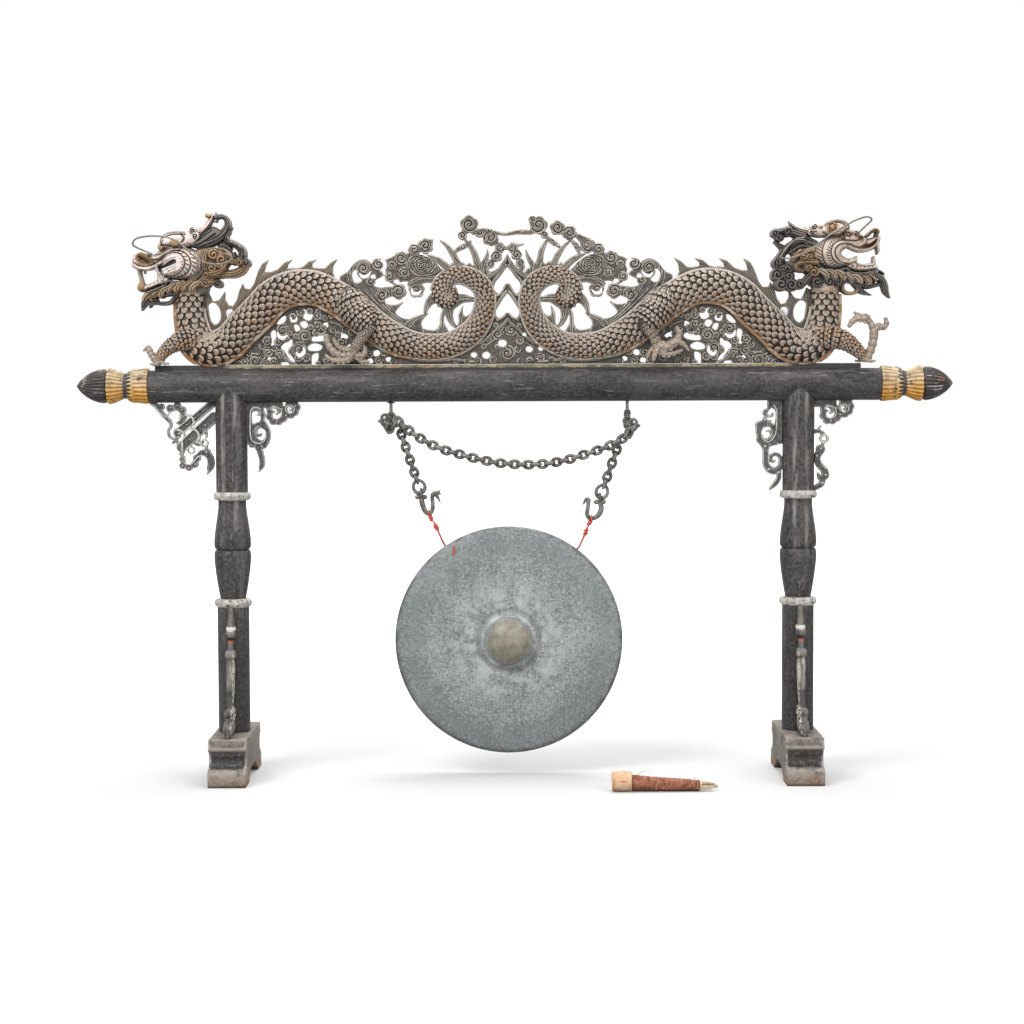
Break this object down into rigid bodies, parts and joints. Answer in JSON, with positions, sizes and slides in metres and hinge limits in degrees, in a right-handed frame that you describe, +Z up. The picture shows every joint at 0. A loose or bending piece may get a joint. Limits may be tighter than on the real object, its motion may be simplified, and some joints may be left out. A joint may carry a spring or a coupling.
{
  "type": "temple gong on stand",
  "caption": "Large bossed gong hung by chains, hooks and cords from a round beam on two turned posts, under a carved openwork dragon crest, with its mallet on the floor.",
  "frame": {"origin": "on the floor, below the middle of the whole object's box", "axes": "+X along the beam to the right as seen from the struck side, +Y away from the struck side, +Z up"},
  "size_m": [2.2912, 0.448, 1.4769],
  "materials": {
    "charcoal_wood": "worn black stain, satin",
    "worn_grey_wood": "rubbed dark stain over bare wood",
    "gilded_wood": "gilt over white ground, rubbed",
    "grey_green_fretwork": "dark stain with rubbed silvery edges",
    "taupe_scale_wood": "carved scales, rubbed lacquer",
    "pale_lacquered_wood": "carved, pale rubbed lacquer",
    "ochre_mane_wood": "carved, ochre and slate wash",
    "wrought_iron": "forged, dull grey",
    "patinated_bronze": "cast, blue-grey patina, pitted",
    "red_cord": "twisted cord",
    "straw_wood": "bare, dry",
    "russet_leather": "worn suede wrap",
    "straw_fibre": "split straw core"
  },
  "bodies": {
    "stand": {"beam": "charcoal_wood", "finial_bud_left": "charcoal_wood", "finial_bud_right": "charcoal_wood", "finial_collar_left": "gilded_wood", "finial_collar_right": "gilded_wood", "post_left": "charcoal_wood", "post_right": "charcoal_wood", "foot_left": "worn_grey_wood", "foot_right": "worn_grey_wood", "brace_front_left": "worn_grey_wood", "brace_back_left": "worn_grey_wood", "brace_front_right": "worn_grey_wood", "brace_back_right": "worn_grey_wood", "bracket_outer_left": "grey_green_fretwork", "bracket_inner_left": "grey_green_fretwork", "bracket_inner_right": "grey_green_fretwork", "bracket_outer_right": "grey_green_fretwork", "bracket_stub_right": "grey_green_fretwork", "dragon_body_left": "taupe_scale_wood", "dragon_body_right": "taupe_scale_wood", "head_left": "pale_lacquered_wood", "head_right": "pale_lacquered_wood", "mane_left": "ochre_mane_wood", "mane_right": "ochre_mane_wood", "whisker_left": "wrought_iron", "whisker_right": "wrought_iron", "low_clouds_left": "grey_green_fretwork", "low_clouds_right": "grey_green_fretwork", "shoulder_clouds_left": "grey_green_fretwork", "shoulder_clouds_right": "grey_green_fretwork", "heart_panel": "grey_green_fretwork", "crest_strip": "grey_green_fretwork", "eyebolt_left": "wrought_iron", "eyebolt_right": "wrought_iron"},
    "left_shackle": {"chain_bundle_left": "wrought_iron"},
    "right_shackle": {"chain_bundle_right": "wrought_iron"},
    "left_drop": {"drop_chain_left": "wrought_iron", "ring_left": "wrought_iron"},
    "right_drop": {"drop_chain_right": "wrought_iron", "ring_right": "wrought_iron"},
    "left_hook": {"hook_left": "wrought_iron"},
    "right_hook": {"hook_right": "wrought_iron"},
    "gong_and_cords": {"gong": "patinated_bronze", "cord_left": "red_cord", "cord_right": "red_cord"},
    "long_chain": {"chain_festoon": "wrought_iron"},
    "mallet": {"mallet_head": "straw_wood", "mallet_sleeve": "russet_leather", "mallet_tuft": "straw_fibre"}
  },
  "joints": [
    {"name": "left_swing", "type": "hinge", "parent": "stand", "child": "left_shackle", "pos_m": [-0.324, 0.044, 0.9395], "axis": [0.9997, 0, -0.0235], "range_deg": [-15, 15]},
    {"name": "right_swing", "type": "hinge", "parent": "stand", "child": "right_shackle", "pos_m": [0.294, 0.044, 0.925], "axis": [0.9997, 0, -0.0235], "range_deg": [-16, 16]},
    {"name": "left_sway", "type": "hinge", "parent": "left_shackle", "child": "left_drop", "pos_m": [-0.2987, 0.044, 0.9054], "axis": [0, 1, 0], "range_deg": [-4.5, 4.5]},
    {"name": "right_sway", "type": "hinge", "parent": "right_shackle", "child": "right_drop", "pos_m": [0.2682, 0.044, 0.8634], "axis": [0, 1, 0], "range_deg": [-5.84, 5.84]},
    {"name": "left_hook_level", "type": "hinge", "parent": "left_drop", "child": "left_hook", "pos_m": [-0.2467, 0.044, 0.7479], "axis": [0, 1, 0], "range_deg": [-6.02, 6.02]},
    {"name": "right_hook_level", "type": "hinge", "parent": "right_drop", "child": "right_hook", "pos_m": [0.2222, 0.044, 0.7334], "axis": [0, 1, 0], "range_deg": [-6.86, 6.86]},
    {"name": "gong_tilt", "type": "hinge", "parent": "left_hook", "child": "gong_and_cords", "pos_m": [-0.2278, 0.044, 0.6928], "axis": [0.9994, 0, -0.0339], "range_deg": [-10, 10]},
    {"name": "long_chain_swing", "type": "hinge", "parent": "left_shackle", "child": "long_chain", "pos_m": [-0.307, 0.015, 0.938], "axis": [0.9967, 0, -0.081], "range_deg": [-12, 12]},
    {"name": "mallet_lift", "type": "slide", "parent": "stand", "child": "mallet", "axis": [0, 0, 1], "range_m": [0, 0.4]}
  ],
  "couplings": [
    {"joint": "right_swing", "follows": "left_swing", "ratio": 1},
    {"joint": "right_sway", "follows": "left_sway", "ratio": 1.1862},
    {"joint": "left_hook_level", "follows": "left_sway", "ratio": -1.2273},
    {"joint": "right_hook_level", "follows": "left_sway", "ratio": -1.4135}
  ]
}
